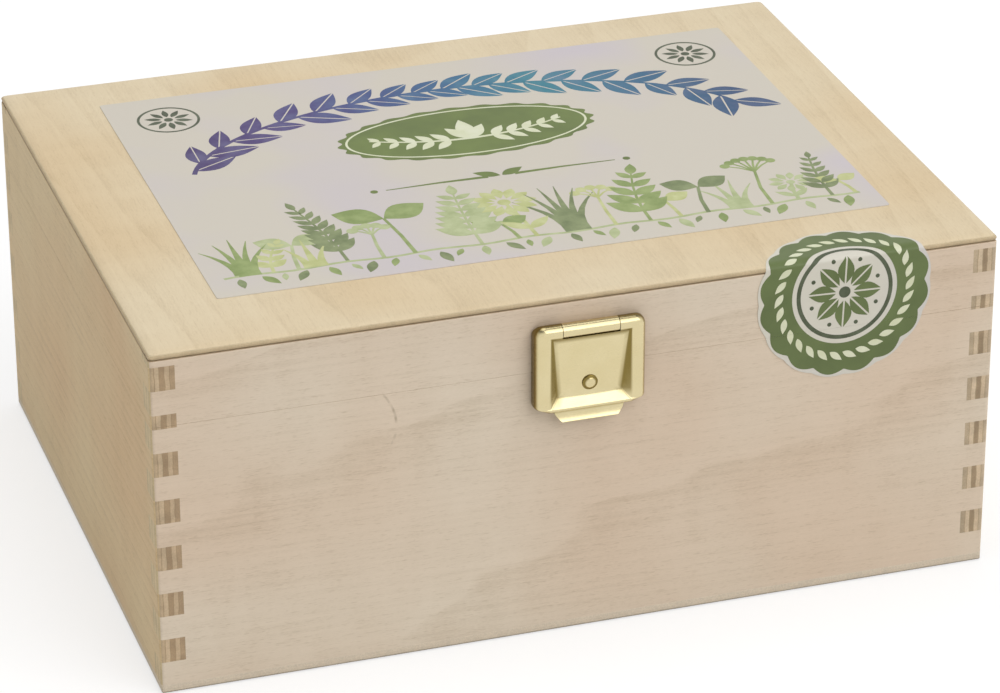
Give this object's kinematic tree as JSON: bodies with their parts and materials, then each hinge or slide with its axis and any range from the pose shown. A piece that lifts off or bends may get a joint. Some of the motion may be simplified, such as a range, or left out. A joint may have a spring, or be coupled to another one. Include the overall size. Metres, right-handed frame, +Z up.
{
  "type": "seed organizer box",
  "caption": "Finger-jointed plywood organizer box with divided compartments, back hinges and a brass flap clasp, closed.",
  "frame": {"origin": "middle of the box's underside, on the surface it stands on", "axes": "+X to the right seen from the front, +Y from the front to the back, +Z up"},
  "size_m": [0.24, 0.1902, 0.1026],
  "materials": {
    "birch_boards": "satin",
    "birch_lid": "satin",
    "birch_thin": "satin",
    "label_paper": "matte",
    "seal_paper": "matte",
    "brass": "polished",
    "spring_steel": "satin"
  },
  "bodies": {
    "case": {"front_wall": "birch_boards", "back_wall": "birch_boards", "left_wall": "birch_boards", "right_wall": "birch_boards", "bottom_panel": "birch_thin", "long_divider": "birch_thin", "left_cross_divider": "birch_thin", "right_cross_divider": "birch_thin", "seal_on_case": "seal_paper", "catch_plate": "brass", "catch_nails": "brass", "left_hinge_case_leaf": "brass", "right_hinge_case_leaf": "brass", "left_hinge_pin": "brass", "right_hinge_pin": "brass", "hinge_case_nails": "brass"},
    "lid": {"lid_front_rail": "birch_boards", "lid_back_rail": "birch_boards", "lid_left_rail": "birch_boards", "lid_right_rail": "birch_boards", "lid_panel": "birch_lid", "lid_label": "label_paper", "seal_on_lid": "seal_paper", "clasp_lid_plate": "brass", "clasp_lid_nails": "brass", "clasp_hinge_pin": "brass", "left_hinge_lid_leaf": "brass", "right_hinge_lid_leaf": "brass", "hinge_lid_nails": "brass"},
    "flap": {"clasp_flap": "brass", "clasp_spring": "spring_steel", "clasp_rivet": "brass"}
  },
  "joints": [
    {"name": "lid_hinge", "type": "hinge", "parent": "case", "child": "lid", "pos_m": [0, 0.09285, 0.08105], "axis": [-1, 0, 0], "range_deg": [0, 180]},
    {"name": "clasp_hinge", "type": "hinge", "parent": "lid", "child": "flap", "pos_m": [0.0005, -0.0936, 0.0935], "axis": [-1, 0, 0], "range_deg": [0, 180]}
  ]
}
